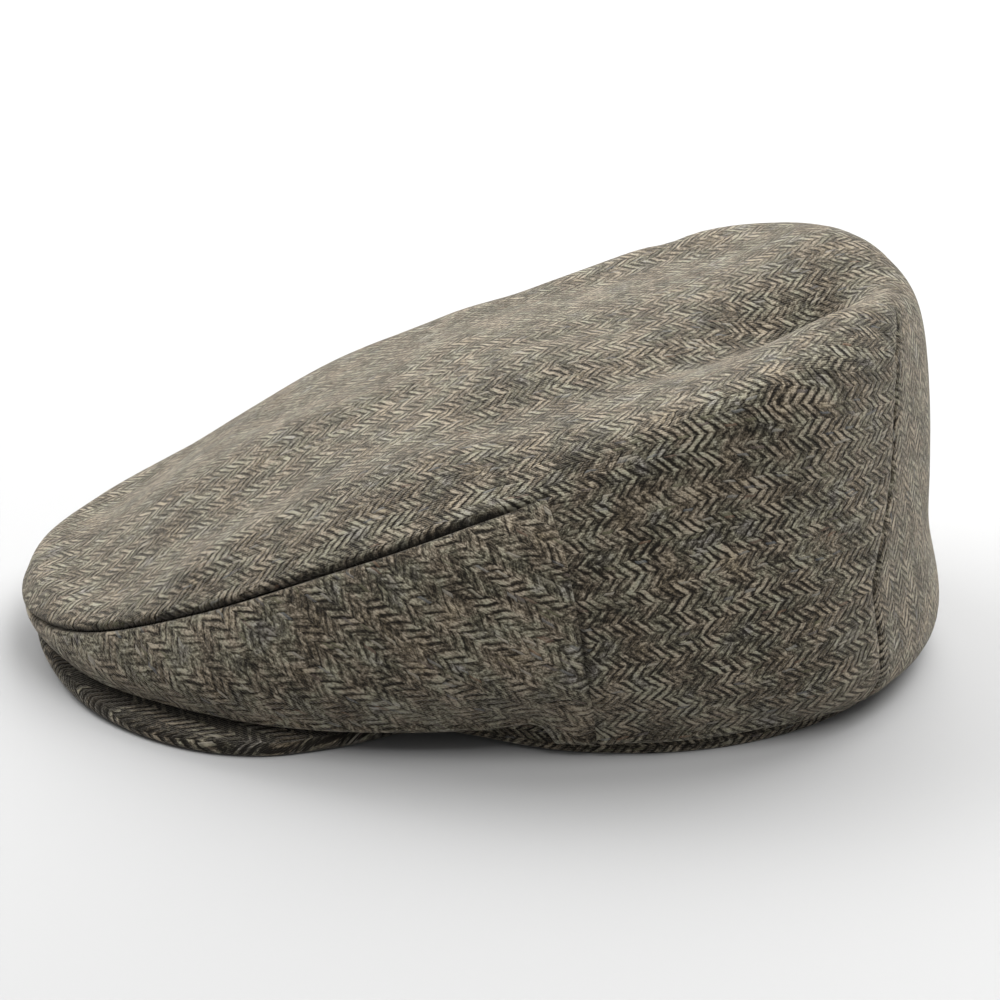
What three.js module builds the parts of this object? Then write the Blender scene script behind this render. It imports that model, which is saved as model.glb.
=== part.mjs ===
// Flat cap in herringbone tweed: a one-piece crown, two side panels let into its front quarters,
// a stiffened peak below its front and a narrow band round the head opening.
// Millimetres, +Z up. The peak points to -Y, and +X is the wearer's left.
// A turn is an angle about the upright axis in degrees: 0 front, 90 the wearer's left, 180 back.
import * as THREE from "three";

// Driving dimensions
const CLOTH = 2; // crown wall: tweed with its backing
const GAP = 0.3; // clearance between sewn pieces
const SEAM_DIP = 1; // how far a seam draws the cloth in
const HEAD = { halfWidth: 86, widestY: 43, frontReach: 118 }; // head oval inside the band
const BAND = { wall: 2, height: 18, lift: 2.6, liftTurn: 84, liftReach: 26 }; // foot lifts at the temples
const PEAK = { thickness: 4.2, rootZ: 2, edgeRound: 0.96, columns: 40 };
const TOP = { centreZ: 88, innerShare: 0.7, heightShare: 0.62 }; // a ring inside the shoulder shapes the top
const SIDE_PANEL = { endTurn: 100, endLean: 10, leanLevels: 9, leanSpread: 30 }; // rear edge leans back
const REAR_DART_TURN = 155; // column of the grid that follows each rear dart

// Grid of the crown: columns run round it, levels run from the hem to the centre.
const COLUMNS = 72;
const LEVELS = 19;
const SEAM_LEVEL = 7;
const SHOULDER_LEVEL = 12;
const SEAM_SEARCH = { highestShare: 0.6, halvings: 30 };

const table = (names, rows) => rows.map((row) => Object.fromEntries(names.map((name, k) => [name, row[k]])));

// Crown sections, one row for each radial section of the left half; the right half mirrors them.
// R is a distance from the axis and Z a height. hemOut is how far the hem stands out from the band.
const CROWN_SECTIONS = table(
  ["turn", "hemOut", "hemZ", "bellyR", "bellyZ", "waistR", "waistZ", "shoulderR", "shoulderZ", "seamZ"],
  [
    [0, 52, 6.2, 140, 12, 137, 23.5, 123, 27.5, 14],
    [20, 49, 6, 133.5, 14, 129.5, 24.5, 116, 29.5, 20],
    [40, 36, 5.5, 119, 16, 110.5, 33, 97, 47.5, 36],
    [60, 21, 6, 104, 21, 96.5, 48, 82, 64.5, 53],
    [80, 10, 8.5, 99, 25, 92, 60, 73, 75.5, 66],
    [97, 2.5, 9, 99, 27, 92, 65.5, 74, 81, 75],
    [108, 0.9, 4.5, 103, 29, 97, 67, 80, 86.3, 79],
    [125, 0, 4, 114, 25, 108, 66, 95, 95.8, 81],
    [142, 0.2, 4, 129.5, 16, 122, 63, 111.5, 106.8, 82],
    [160, 0.3, 3.5, 136.8, 11, 131.5, 60, 117.5, 112.3, 84],
    [180, 0.3, 3.5, 138.9, 10.5, 134.4, 60, 125.2, 110.5, 84],
  ],
);

// Where a rear dart runs: upright at the hem, leaning back towards the edge of the top.
const DART_PATH = table(
  ["level", "turn"],
  [
    [0, 149],
    [4.8, 149.5],
    [6.5, 157.5],
    [8.5, 162.5],
    [9.5, 168],
  ],
);

// Soft folds of the crown's top: a line in plan, its spread and how far it lifts the cloth at each point.
const FOLD_COLUMNS = ["x", "y", "width", "rise"];
const NEAR_RIDGE = table(FOLD_COLUMNS, [
  [66, -94, 9, 1],
  [56, -76, 9, 2.4],
  [52, -48, 10, 2.6],
  [58, -12, 10, 2.2],
  [60, 40, 10, 1.4],
  [56, 72, 9, 1.2],
  [36, 102, 8, 2],
  [20, 116, 8, 1.5],
]);
const DENT = table(FOLD_COLUMNS, [
  [20, -30, 12, -0.5],
  [36, 5, 11, -2.4],
  [38, 36, 11, -1.8],
  [28, 62, 12, -5.4],
  [15, 82, 13, -7.3],
  [15, 99, 10, -8],
]);
const REAR_SWELL = table(FOLD_COLUMNS, [
  [0, 34, 30, 1],
  [-8, 68, 28, 5],
  [-17, 98, 24, 8.2],
]);
const FAR_NOTCH = table(FOLD_COLUMNS, [
  [-84, 62, 6, -1.6],
  [-62, 56, 6, -1.2],
]);
const FOLDS = [NEAR_RIDGE, DENT, REAR_SWELL, FAR_NOTCH];

// Peak sections: the outer edge and the height of its underside.
const PEAK_SECTIONS = table(
  ["turn", "edgeR", "edgeZ"],
  [
    [0, 137, 1.5],
    [15, 134, 1],
    [30, 129.5, 0.4],
    [45, 120.5, 0],
    [55, 110, 0],
    [63, 97, 0.4],
    [74, 80.5, 0.6],
  ],
);

const radians = THREE.MathUtils.degToRad;
const mix = THREE.MathUtils.lerp;
const bell = (distance, width) => Math.exp(-((distance / width) ** 2));
const hump = (distance, reach) => 0.5 + 0.5 * Math.cos(Math.PI * Math.min(1, Math.abs(distance / reach)));

const onTurn = (turn, r, z) => {
  const angle = radians(turn);
  return new THREE.Vector3(r * Math.sin(angle), -r * Math.cos(angle), z);
};

// A column of a table as a smooth function of the turn, even about the front and about the back.
function smoothColumn(sections, name) {
  const knots = sections.map((row) => [row.turn, row[name]]);
  const [, second] = knots;
  const beforeLast = knots[knots.length - 2];
  const last = knots[knots.length - 1];
  knots.unshift([-second[0], second[1]]);
  const past = 2 * last[0] - beforeLast[0];
  knots.push(last[0] === 180 ? [past, beforeLast[1]] : [past, last[1]]);
  return (turn) => {
    const at = Math.abs(turn);
    let k = 1;
    while (k < knots.length - 3 && at > knots[k + 1][0]) k += 1;
    const [[ta, va], [tb, vb], [tc, vc], [td, vd]] = knots.slice(k - 1, k + 3);
    const span = tc - tb;
    const s = (at - tb) / span;
    const slopeB = (span * (vc - va)) / (tc - ta);
    const slopeC = (span * (vd - vb)) / (td - tb);
    const square = 3 * (vc - vb) - 2 * slopeB - slopeC;
    const cube = 2 * (vb - vc) + slopeB + slopeC;
    return vb + s * (slopeB + s * (square + s * cube));
  };
}

const crown = Object.fromEntries(
  Object.keys(CROWN_SECTIONS[0]).map((name) => [name, smoothColumn(CROWN_SECTIONS, name)]),
);
const peakEdgeR = smoothColumn(PEAK_SECTIONS, "edgeR");
const peakEdgeZ = smoothColumn(PEAK_SECTIONS, "edgeZ");

// Distance from the axis to the head oval grown by "out": half a circle behind its widest place
// and half an ellipse in front of it.
function ovalRadius(turn, out) {
  const { x, y } = onTurn(turn, 1, 0);
  const halfWidth = HEAD.halfWidth + out;
  const reach = (halfLength) => {
    const squash = (halfWidth / halfLength) ** 2;
    const a = x * x + y * y * squash;
    const b = y * HEAD.widestY * squash;
    const c = HEAD.widestY ** 2 * squash - halfWidth ** 2;
    return (b + Math.sqrt(b * b - a * c)) / a;
  };
  const behind = reach(halfWidth);
  return behind * y >= HEAD.widestY ? behind : reach(HEAD.frontReach + out);
}

// Section of the crown at a turn: a smooth curve from the hem over the shoulder to the centre.
function crownSection(turn) {
  const at = (name) => onTurn(turn, crown[`${name}R`](turn), crown[`${name}Z`](turn));
  const inner = (towards) => {
    const r = TOP.innerShare * crown.shoulderR(towards);
    return onTurn(towards, r, mix(TOP.centreZ, crown.shoulderZ(towards), TOP.heightShare));
  };
  const hemR = ovalRadius(turn, BAND.wall + GAP + CLOTH) + crown.hemOut(turn);
  const opposite = turn > 0 ? turn - 180 : turn + 180;
  const points = [
    onTurn(turn, hemR, crown.hemZ(turn)), at("belly"), at("waist"), at("shoulder"), inner(turn),
    new THREE.Vector3(0, 0, TOP.centreZ), inner(opposite),
  ];
  const curve = new THREE.CatmullRomCurve3(points, false, "centripetal");
  const centreShare = (points.length - 2) / (points.length - 1);
  return (share) => curve.getPoint(share * centreShare);
}

// Share of the section at which it has climbed to the side panel's seam, found by halving.
function seamShare(section, seamZ) {
  let [below, above] = [0, SEAM_SEARCH.highestShare];
  for (let k = 0; k < SEAM_SEARCH.halvings; k += 1) {
    const middle = (below + above) / 2;
    if (section(middle).z < seamZ) below = middle;
    else above = middle;
  }
  return below;
}

// A fold acts by the nearest point of its line.
function foldLift(line, p) {
  let nearest = Infinity;
  let lift = 0;
  line.slice(1).forEach((to, k) => {
    const from = line[k];
    const start = new THREE.Vector2(from.x, from.y);
    const run = new THREE.Vector2(to.x, to.y).sub(start);
    const here = new THREE.Vector2(p.x, p.y).sub(start);
    const share = THREE.MathUtils.clamp(here.dot(run) / run.lengthSq(), 0, 1);
    const distance = here.addScaledVector(run, -share).length();
    if (distance >= nearest) return;
    nearest = distance;
    lift = mix(from.rise, to.rise, share) * bell(distance, mix(from.width, to.width, share));
  });
  return lift;
}

const foldRise = (p) => FOLDS.reduce((sum, line) => sum + foldLift(line, p), 0);

function columnTurn(i) {
  const turn = (360 * i) / COLUMNS;
  return turn > 180 ? turn - 360 : turn;
}

function dartTurn(level) {
  const next = DART_PATH.findIndex((row) => row.level >= level);
  if (next < 1) return DART_PATH[next < 0 ? DART_PATH.length - 1 : 0].turn;
  const [from, to] = [DART_PATH[next - 1], DART_PATH[next]];
  return mix(from.turn, to.turn, (level - from.level) / (to.level - from.level));
}

// Columns behind the side panel swing with the rear dart, and those near the panel's end lean back.
function swungTurn(upright, level) {
  const away = Math.abs(upright);
  const dart = dartTurn(level);
  const { endTurn, endLean, leanLevels, leanSpread } = SIDE_PANEL;
  const ahead = THREE.MathUtils.mapLinear(away, endTurn, REAR_DART_TURN, endTurn, dart);
  const behind = THREE.MathUtils.mapLinear(away, REAR_DART_TURN, 180, dart, 180);
  const past = away <= REAR_DART_TURN ? ahead : behind;
  const swung = away <= endTurn ? away : past;
  const lean = endLean * Math.max(0, 1 - level / leanLevels) * bell(away - endTurn, leanSpread);
  return Math.sign(upright) * (swung + lean);
}

// Outer face of the crown and the side panels together: a point for each column and level.
function crownColumn(i) {
  return Array.from({ length: LEVELS + 1 }, (_, j) => {
    const turn = swungTurn(columnTurn(i), j);
    const section = crownSection(turn);
    const seam = seamShare(section, crown.seamZ(turn));
    const share = j <= SEAM_LEVEL
      ? (seam * j) / SEAM_LEVEL
      : mix(seam, 1, (j - SEAM_LEVEL) / (LEVELS - SEAM_LEVEL));
    const p = section(share);
    p.z += foldRise(p) * THREE.MathUtils.smoothstep(j, SEAM_LEVEL, SHOULDER_LEVEL);
    return p;
  });
}

const columnAt = (i) => (i + COLUMNS) % COLUMNS;
const grid = Array.from({ length: COLUMNS }, (_, i) => crownColumn(i));
const normals = grid.map((points, i) => points.map((_, j) => {
  if (j === LEVELS) return new THREE.Vector3(0, 0, 1);
  const round = new THREE.Vector3().subVectors(grid[columnAt(i + 1)][j], grid[columnAt(i - 1)][j]);
  const up = new THREE.Vector3().subVectors(points[j + 1], points[Math.max(j - 1, 0)]);
  return round.cross(up).normalize();
}));

const panelColumns = Math.round((SIDE_PANEL.endTurn * COLUMNS) / 360);
const inLeftPanel = (i, j) => j < SEAM_LEVEL && i < panelColumns;
const inRightPanel = (i, j) => j < SEAM_LEVEL && i >= COLUMNS - panelColumns;
const inCrown = (i, j) => !inLeftPanel(i, j) && !inRightPanel(i, j);
const dartEnd = DART_PATH[DART_PATH.length - 1];
const onRearDart = (i, j) => j > 0 && j < dartEnd.level && Math.abs(columnTurn(i)) === REAR_DART_TURN;

function closedGeometry(positions, indices) {
  const geometry = new THREE.BufferGeometry();
  geometry.setAttribute("position", new THREE.Float32BufferAttribute(positions, 3));
  geometry.setIndex(indices);
  geometry.computeVertexNormals();
  return geometry;
}

// Closed cloth wall over the grid cells that belong to one piece. Sewn edges draw back and dip inwards.
function clothGeometry(belongs) {
  const positions = [];
  const indices = [];
  const known = new Map();
  const member = (i, j) => j >= 0 && j < LEVELS && belongs(columnAt(i), j);
  const vertex = (i, j, inside) => {
    const column = j === LEVELS ? 0 : columnAt(i);
    const key = `${column} ${j} ${inside}`;
    if (known.has(key)) return known.get(key);
    const p = grid[column][j].clone();
    const normal = normals[column][j];
    const cells = [[column - 1, j - 1], [column, j - 1], [column - 1, j], [column, j]];
    const own = cells.filter(([a, b]) => member(a, b));
    const sewn = j < LEVELS && own.length < (j === 0 ? 2 : 4);
    if (sewn) {
      const middle = new THREE.Vector3();
      own.forEach(([a, b]) => middle.add(grid[columnAt(a)][b]).add(grid[columnAt(a + 1)][b + 1]));
      const inwards = middle.divideScalar(2 * own.length).sub(p).normalize();
      p.addScaledVector(inwards, GAP / 2);
    }
    if (sewn || onRearDart(column, j)) p.addScaledVector(normal, -SEAM_DIP);
    if (inside) p.addScaledVector(normal, -CLOTH);
    positions.push(p.x, p.y, p.z);
    known.set(key, known.size);
    return known.get(key);
  };
  const triangle = (a, b, c) => {
    if (a !== b && b !== c && c !== a) indices.push(a, b, c);
  };
  const quad = (a, b, c, d) => {
    triangle(a, b, c);
    triangle(a, c, d);
  };
  for (let i = 0; i < COLUMNS; i += 1) {
    for (let j = 0; j < LEVELS; j += 1) {
      if (!member(i, j)) continue;
      const corners = [[i, j], [i + 1, j], [i + 1, j + 1], [i, j + 1]];
      const neighbours = [[i, j - 1], [i + 1, j], [i, j + 1], [i - 1, j]];
      quad(...corners.map((at) => vertex(...at, false)));
      quad(...corners.map((at) => vertex(...at, true)).reverse());
      neighbours.forEach((cell, side) => {
        if (cell[1] === LEVELS || member(...cell)) return;
        const from = corners[side];
        const to = corners[(side + 1) % 4];
        quad(vertex(...to, false), vertex(...from, false), vertex(...from, true), vertex(...to, true));
      });
    }
  }
  return closedGeometry(positions, indices);
}

// Closed solid swept through like sections, each a loop of points; an open run gets end faces.
function sweptGeometry(sections, isRing) {
  const count = sections[0].length;
  const end = (sections.length - 1) * count;
  const indices = [];
  for (let s = 0; s < sections.length - (isRing ? 0 : 1); s += 1) {
    const here = s * count;
    const next = ((s + 1) % sections.length) * count;
    for (let k = 0; k < count; k += 1) {
      const l = (k + 1) % count;
      indices.push(here + k, next + k, next + l, here + k, next + l, here + l);
    }
  }
  for (let k = 1; k < count - 1 && !isRing; k += 1) {
    indices.push(0, k, k + 1, end, end + k + 1, end + k);
  }
  return closedGeometry(sections.flat().flatMap((p) => p.toArray()), indices);
}

// Head band: a strip that stands flat at the back and lifts a little at the temples.
function bandSection(i) {
  const turn = columnTurn(i);
  const inside = ovalRadius(turn, 0);
  const outside = ovalRadius(turn, BAND.wall);
  const footZ = BAND.lift * hump(Math.abs(turn) - BAND.liftTurn, BAND.liftReach);
  return [
    onTurn(turn, outside, footZ), onTurn(turn, outside, BAND.height),
    onTurn(turn, inside, BAND.height), onTurn(turn, inside, footZ),
  ];
}

// Peak: a crescent plate from the band to a rounded outer edge.
function peakSection(s) {
  const endTurn = PEAK_SECTIONS[PEAK_SECTIONS.length - 1].turn;
  const turn = endTurn * ((2 * s) / PEAK.columns - 1);
  const rootR = ovalRadius(turn, BAND.wall + GAP);
  const at = (share, lift) => {
    const z = mix(PEAK.rootZ, peakEdgeZ(turn), share) + lift * PEAK.thickness;
    return onTurn(turn, mix(rootR, peakEdgeR(turn), share), z);
  };
  return [at(0, 0), at(PEAK.edgeRound, 0), at(1, 0.5), at(PEAK.edgeRound, 1), at(0, 1)];
}

const tweed = (colour) => new THREE.MeshStandardMaterial({ color: colour, roughness: 0.95, metalness: 0 });

function piece(name, geometry, colour) {
  const mesh = new THREE.Mesh(geometry, tweed(colour));
  mesh.name = name;
  return mesh;
}

const bandSections = Array.from({ length: COLUMNS }, (_, i) => bandSection(i));
const peakSections = Array.from({ length: PEAK.columns + 1 }, (_, s) => peakSection(s));

const cap = new THREE.Group();
cap.add(
  piece("crown", clothGeometry(inCrown), 0x7a7264),
  piece("side_panel_left", clothGeometry(inLeftPanel), 0x746b5d),
  piece("side_panel_right", clothGeometry(inRightPanel), 0x746b5d),
  piece("peak", sweptGeometry(peakSections, false), 0x6c6456),
  piece("head_band", sweptGeometry(bandSections, true), 0x5c554a),
);

export default cap;
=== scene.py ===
import math
import bpy
import numpy as np
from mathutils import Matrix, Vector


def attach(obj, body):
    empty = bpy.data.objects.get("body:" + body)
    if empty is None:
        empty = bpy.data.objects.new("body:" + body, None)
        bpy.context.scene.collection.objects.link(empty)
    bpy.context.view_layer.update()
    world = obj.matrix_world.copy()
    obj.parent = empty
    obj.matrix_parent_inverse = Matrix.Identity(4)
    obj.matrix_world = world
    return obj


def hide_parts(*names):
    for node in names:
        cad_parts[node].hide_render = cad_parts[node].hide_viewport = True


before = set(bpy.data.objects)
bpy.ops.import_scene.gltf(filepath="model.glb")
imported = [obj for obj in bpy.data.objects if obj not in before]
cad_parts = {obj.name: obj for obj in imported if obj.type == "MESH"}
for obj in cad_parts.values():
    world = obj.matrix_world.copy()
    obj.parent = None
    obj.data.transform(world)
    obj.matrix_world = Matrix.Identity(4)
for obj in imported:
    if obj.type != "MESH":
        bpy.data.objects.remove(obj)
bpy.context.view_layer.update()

# Crown
# One piece of wool herringbone tweed makes the top, the rear sides and the back, with a dart at each
# rear corner that turns the cloth down. Its front edge rolls over the seam to the side panels, and its
# hem is turned under along the head band.
MM = 0.001
CLOTH = 2.0                     # wall in millimetres, tweed with its backing
BAND_CLEAR = 4.3                # from the inside of the band to the outside of the hem
HEAD_HALF_WIDTH = 86.0          # head oval inside the band
HEAD_WIDEST_Y = 43.0
HEAD_FRONT_REACH = 118.0
TOP_CENTRE_Z = 88.0
TOP_INNER_SHARE = 0.7           # a ring of the top: its share of the shoulder's distance from the axis
TOP_HEIGHT_SHARE = 0.62         # and of the shoulder's height over the middle
SEAM_TURN = 100.0               # rear end of a side panel
SEAM_LEAN = 10.0                # its rear seam leans back towards the hem
LEAN_LEVELS = 9.0
LEAN_SPREAD = 30.0
DART_COLUMN = 155.0             # column of the grid that follows the dart
LEVELS = 19.0                   # hem at level 0, middle of the top at level 19
DART_PATH = np.array([          # level, turn: upright at the hem, leaning back towards the edge of the top
    [0, 149],
    [4.8, 149.5],
    [6.5, 157.5],
    [8.5, 162.5],
    [9.5, 168],
])
DART_LEVEL = DART_PATH[-1, 0]
SEAM_LEVEL = 7.0
SHOULDER_LEVEL = 12.0
SECTION_NAMES = ("turn", "hem_out", "hem_z", "belly_r", "belly_z", "waist_r", "waist_z",
                 "shoulder_r", "shoulder_z", "seam_z")
CROWN_SECTIONS = np.array([
    [0, 52, 6.2, 140, 12, 137, 23.5, 123, 27.5, 14],
    [20, 49, 6, 133.5, 14, 129.5, 24.5, 116, 29.5, 20],
    [40, 36, 5.5, 119, 16, 110.5, 33, 97, 47.5, 36],
    [60, 21, 6, 104, 21, 96.5, 48, 82, 64.5, 53],
    [80, 10, 8.5, 99, 25, 92, 60, 73, 75.5, 66],
    [97, 2.5, 9, 99, 27, 92, 65.5, 74, 81, 75],
    [108, 0.9, 4.5, 103, 29, 97, 67, 80, 86.3, 79],
    [125, 0, 4, 114, 25, 108, 66, 95, 95.8, 81],
    [142, 0.2, 4, 129.5, 16, 122, 63, 111.5, 106.8, 82],
    [160, 0.3, 3.5, 136.8, 11, 131.5, 60, 117.5, 112.3, 84],
    [180, 0.3, 3.5, 138.9, 10.5, 134.4, 60, 125.2, 110.5, 84],
])
# Soft folds of the top: a line in plan, its spread and how far it lifts the cloth at each of its points.
FOLDS = {
    # x, y, width, rise
    "near_ridge": np.array([
        [66, -94, 9, 1],
        [56, -76, 9, 2.4],
        [52, -48, 10, 2.6],
        [58, -12, 10, 2.2],
        [60, 40, 10, 1.4],
        [56, 72, 9, 1.2],
        [36, 102, 8, 2],
        [20, 116, 8, 1.5],
    ]),
    "dent": np.array([
        [20, -30, 12, -0.5],
        [36, 5, 11, -2.4],
        [38, 36, 11, -1.8],
        [28, 62, 12, -5.4],
        [15, 82, 13, -7.3],
        [15, 99, 10, -8],
    ]),
    "rear_swell": np.array([
        [0, 34, 30, 1],
        [-8, 68, 28, 5],
        [-17, 98, 24, 8.2],
    ]),
    "far_notch": np.array([
        [-84, 62, 6, -1.6],
        [-62, 56, 6, -1.2],
    ]),
}


def on_turn(turn, r, z):
    """Points at an angle about the upright axis: 0 front, 90 the wearer's left, 180 back."""
    angle = np.radians(turn)
    return np.stack(np.broadcast_arrays(r * np.sin(angle), -r * np.cos(angle), z), -1)


def bell(distance, width):
    return np.exp(-((distance / width) ** 2))


def ease(value, low, high):
    share = np.clip((value - low) / (high - low), 0, 1)
    return share * share * (3 - 2 * share)


def smooth_column(rows, column):
    """A column of a section table as a smooth function of the turn, even about front and back."""
    turn, value = rows[:, 0].astype(float), rows[:, column].astype(float)
    after = value[-2] if turn[-1] == 180 else value[-1]
    turn_on = np.concatenate([[-turn[1]], turn, [2 * turn[-1] - turn[-2]]])
    value_on = np.concatenate([[value[1]], value, [after]])
    slope = (value_on[2:] - value_on[:-2]) / (turn_on[2:] - turn_on[:-2])

    def at(angle):
        away = np.minimum(np.abs(angle), turn[-1])
        k = np.clip(np.searchsorted(turn, away) - 1, 0, len(turn) - 2)
        span = turn[k + 1] - turn[k]
        share = (away - turn[k]) / span
        leave, reach = slope[k] * span, slope[k + 1] * span
        square = 3 * (value[k + 1] - value[k]) - 2 * leave - reach
        cube = 2 * (value[k] - value[k + 1]) + leave + reach
        return value[k] + share * (leave + share * (square + share * cube))

    return at


crown_size = {name: smooth_column(CROWN_SECTIONS, k) for k, name in enumerate(SECTION_NAMES)}


def oval_radius(turn, out):
    """Distance from the axis to the head oval grown by out: half a circle behind, half an ellipse before."""
    x, y = np.sin(np.radians(turn)), -np.cos(np.radians(turn))
    half_width = HEAD_HALF_WIDTH + out

    def reach(half_length):
        squash = (half_width / half_length) ** 2
        a = x * x + y * y * squash
        b = y * HEAD_WIDEST_Y * squash
        c = HEAD_WIDEST_Y ** 2 * squash - half_width ** 2
        return (b + np.sqrt(b * b - a * c)) / a

    behind = reach(half_width)
    return np.where(behind * y >= HEAD_WIDEST_Y, behind, reach(HEAD_FRONT_REACH + out))


def section_point(turn, share):
    """Point of the crown's section at a turn, by its share of the way from the hem to the middle."""
    def inner(towards):
        r = TOP_INNER_SHARE * crown_size["shoulder_r"](towards)
        rise = crown_size["shoulder_z"](towards) - TOP_CENTRE_Z
        return on_turn(towards, r, TOP_CENTRE_Z + TOP_HEIGHT_SHARE * rise)

    opposite = np.where(turn > 0, turn - 180, turn + 180)
    hem_r = oval_radius(turn, BAND_CLEAR) + crown_size["hem_out"](turn)
    knots = [on_turn(turn, hem_r, crown_size["hem_z"](turn))]
    for name in ("belly", "waist", "shoulder"):
        knots.append(on_turn(turn, crown_size[name + "_r"](turn), crown_size[name + "_z"](turn)))
    knots += [inner(turn), on_turn(turn, 0 * turn, TOP_CENTRE_Z), inner(opposite)]
    knots = [2 * knots[0] - knots[1]] + knots
    stack = np.stack(knots)
    place = np.clip(share, 0, 1) * (len(knots) - 3)
    k = np.minimum(place.astype(int), len(knots) - 4)
    s = (place - k)[..., None]
    picked = [np.take_along_axis(stack, (k + step)[None, ..., None], 0)[0] for step in range(4)]
    before, start, end, after = picked
    spans = [np.sqrt(np.linalg.norm(q - p, axis=-1, keepdims=True)) for p, q in zip(picked, picked[1:])]
    first, middle, last = spans
    leave = ((start - before) / first - (end - before) / (first + middle) + (end - start) / middle) * middle
    reach = ((end - start) / middle - (after - start) / (middle + last) + (after - end) / last) * middle
    square = 3 * (end - start) - 2 * leave - reach
    cube = 2 * (start - end) + leave + reach
    return start + s * (leave + s * (square + s * cube))


SEAM_SHARE_MOST = 0.6
HALVINGS = 30


def seam_share_table(turns):
    """Share of each section at which it has climbed to the side panel's seam, found by halving."""
    below, above = np.zeros(len(turns)), np.full(len(turns), SEAM_SHARE_MOST)
    for _ in range(HALVINGS):
        middle = (below + above) / 2
        low = section_point(turns, middle)[:, 2] < crown_size["seam_z"](turns)
        below, above = np.where(low, middle, below), np.where(low, above, middle)
    return below


SEAM_TABLE_END = 181
SEAM_TABLE_COUNT = 363          # a row for each half degree
seam_turns = np.linspace(0, SEAM_TABLE_END, SEAM_TABLE_COUNT)
seam_shares = seam_share_table(seam_turns)


def fold_rise(points):
    """How far the folds lift the top: each acts by the nearest point of its line."""
    total = np.zeros(points.shape[:-1])
    for line in FOLDS.values():
        nearest = np.full(points.shape[:-1], np.inf)
        rise = np.zeros(points.shape[:-1])
        for start, end in zip(line[:-1], line[1:]):
            run = end[:2] - start[:2]
            here = points[..., :2] - start[:2]
            along = np.clip(here @ run / (run @ run), 0, 1)
            distance = np.linalg.norm(here - along[..., None] * run, axis=-1)
            width, lift = (start[k] + along * (end[k] - start[k]) for k in (2, 3))
            rise = np.where(distance < nearest, lift * bell(distance, width), rise)
            nearest = np.minimum(nearest, distance)
        total += rise
    return total


def crown_surface(upright, level):
    """Outer face of the crown and the side panels together; columns swing to the rear seam and the dart."""
    away = np.abs(upright)
    dart = np.interp(level, DART_PATH[:, 0], DART_PATH[:, 1])
    ahead = SEAM_TURN + (away - SEAM_TURN) * (dart - SEAM_TURN) / (DART_COLUMN - SEAM_TURN)
    behind = 180 - (180 - away) * (180 - dart) / (180 - DART_COLUMN)
    swung = np.where(away <= SEAM_TURN, away, np.where(away <= DART_COLUMN, ahead, behind))
    lean = SEAM_LEAN * np.maximum(0, 1 - level / LEAN_LEVELS) * bell(away - SEAM_TURN, LEAN_SPREAD)
    turn = np.sign(upright) * (swung + lean)
    seam = np.interp(np.abs(turn), seam_turns, seam_shares)
    climb = (level - SEAM_LEVEL) / (LEVELS - SEAM_LEVEL)
    share = np.where(level <= SEAM_LEVEL, seam * level / SEAM_LEVEL, seam + (1 - seam) * climb)
    points = section_point(turn, share)
    points[..., 2] += fold_rise(points) * ease(level, SEAM_LEVEL, SHOULDER_LEVEL)
    return points


# Grid of the cloth: columns close up at the seams, rows close up at the hem and at the side panels' seam.
LOWER_ROWS = 44
UPPER_ROWS = 84
COLUMN_RUNS = ((0.0, SEAM_TURN, 78), (SEAM_TURN, DART_COLUMN, 52), (DART_COLUMN, 180.0, 24))
RUN_CROWDING = 0.75
LOWER_CROWDING = 0.75
UPPER_CROWDING = 0.75
DENSE_COUNT = 381               # close samples along each column, from which the rows are picked


def crowded(count, crowding):
    """Shares from 0 to 1 that lie closer at both ends."""
    t = np.linspace(0, 1, count + 1)
    return t - crowding * np.sin(2 * np.pi * t) / (2 * np.pi)


half_turns = [np.array([0.0])]
for start, end, count in COLUMN_RUNS:
    half_turns.append(start + (end - start) * crowded(count, RUN_CROWDING)[1:])
half_turns = np.concatenate(half_turns)
columns = np.concatenate([-half_turns[-2:0:-1], half_turns])
rows_total = LOWER_ROWS + UPPER_ROWS
dense_levels = np.linspace(0, LEVELS, DENSE_COUNT)
seam_sample = int(np.argmin(np.abs(dense_levels - SEAM_LEVEL)))
dense = crown_surface(columns[:, None] + 0 * dense_levels, dense_levels + 0 * columns[:, None])
dense_run = np.concatenate([np.zeros((len(columns), 1)),
                            np.linalg.norm(np.diff(dense, axis=1), axis=-1).cumsum(1)], 1)
upper_shares = np.linspace(0, 1, UPPER_ROWS + 1)
upper_shares = (1 - UPPER_CROWDING) * upper_shares + UPPER_CROWDING * upper_shares ** 2
grid = np.empty((len(columns), rows_total + 1, 3))
grid_level = np.empty(grid.shape[:2])
for i, run in enumerate(dense_run):
    seam_at, end_at = run[seam_sample], run[-1]
    stops = np.concatenate([seam_at * crowded(LOWER_ROWS, LOWER_CROWDING)[:-1],
                            seam_at + (end_at - seam_at) * upper_shares])
    grid_level[i] = np.interp(stops, run, dense_levels)
    for axis in range(3):
        grid[i, :, axis] = np.interp(stops, run, dense[i, :, axis])
grid[:, -1] = grid[0, -1]

# The hem dips before the temple, lifts, and steps down behind it, where the side panel turns under.
HEM_SHIFT = np.array([          # column, rise
    [30, 1.2],
    [45, 1.8],
    [57, 1],
    [64.5, 0.2],
    [73, -0.6],
    [83.5, -0.9],
    [88, 0.6],
    [90.5, 1.9],
    [91.8, 1.6],
    [93.5, -2.4],
    [96, -0.8],
    [98.5, 0.1],
    [104, 1],
])
HEM_SHIFT_LEVELS = 2.5
hem_hold = np.clip(1 - grid_level / HEM_SHIFT_LEVELS, 0, 1) ** 2
grid[..., 2] += hem_hold * np.interp(np.abs(columns), HEM_SHIFT[:, 0], HEM_SHIFT[:, 1])[:, None]


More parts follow.
